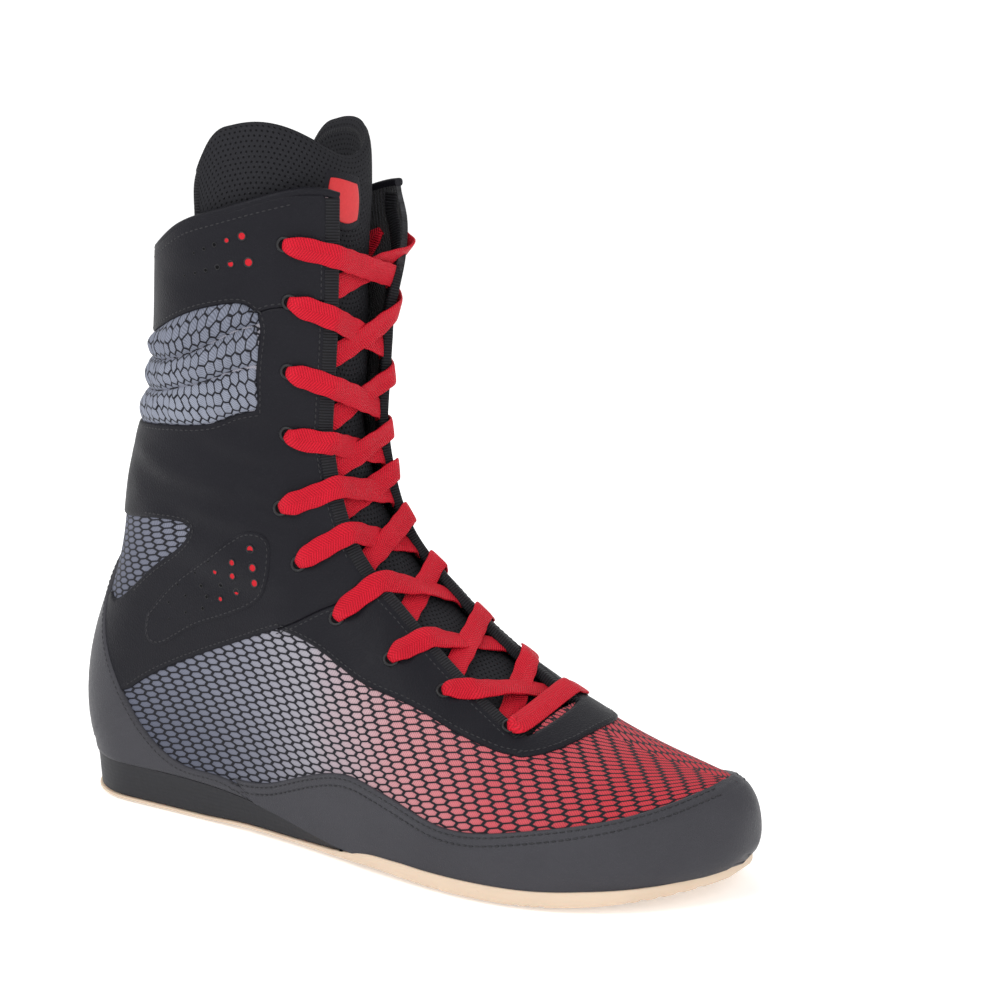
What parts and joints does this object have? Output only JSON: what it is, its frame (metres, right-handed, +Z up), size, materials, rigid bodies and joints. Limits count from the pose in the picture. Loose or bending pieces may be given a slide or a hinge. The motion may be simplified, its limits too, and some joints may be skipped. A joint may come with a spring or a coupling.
{
  "type": "boxing shoe",
  "caption": "High-top laced boxing shoe for the right foot: hollow ankle-high upper with a tongue, wrapped rand and heel counter, and a thin flat rubber sole.",
  "frame": {"origin": "middle of the heel's flat spot on the underside of the sole, at floor level", "axes": "+X to the toe, +Y to the inner side of the right foot, +Z up"},
  "size_m": [0.292, 0.1013, 0.2698],
  "materials": {
    "black_leather": "smooth matt synthetic leather",
    "gum_rubber": "matt gum rubber",
    "wedge_rubber": "matt dense rubber",
    "insole_fabric": "knitted sock lining",
    "charcoal_leather": "fine-grained matt synthetic leather",
    "tongue_mesh": "padded spacer mesh",
    "lace_weave": "flat woven polyester"
  },
  "bodies": {
    "root": {"upper": "black_leather", "outsole": "gum_rubber", "midsole_wedge": "wedge_rubber", "insole": "insole_fabric", "heel_counter": "charcoal_leather", "toe_rand": "charcoal_leather", "tongue": "tongue_mesh", "lace_crossing_1": "lace_weave", "lace_crossing_2": "lace_weave", "lace_crossing_3": "lace_weave", "lace_crossing_4": "lace_weave", "lace_crossing_5": "lace_weave", "lace_crossing_6": "lace_weave", "lace_crossing_7": "lace_weave", "lace_crossing_8": "lace_weave", "lace_crossing_9": "lace_weave", "lace_bar": "lace_weave"}
  },
  "joints": []
}
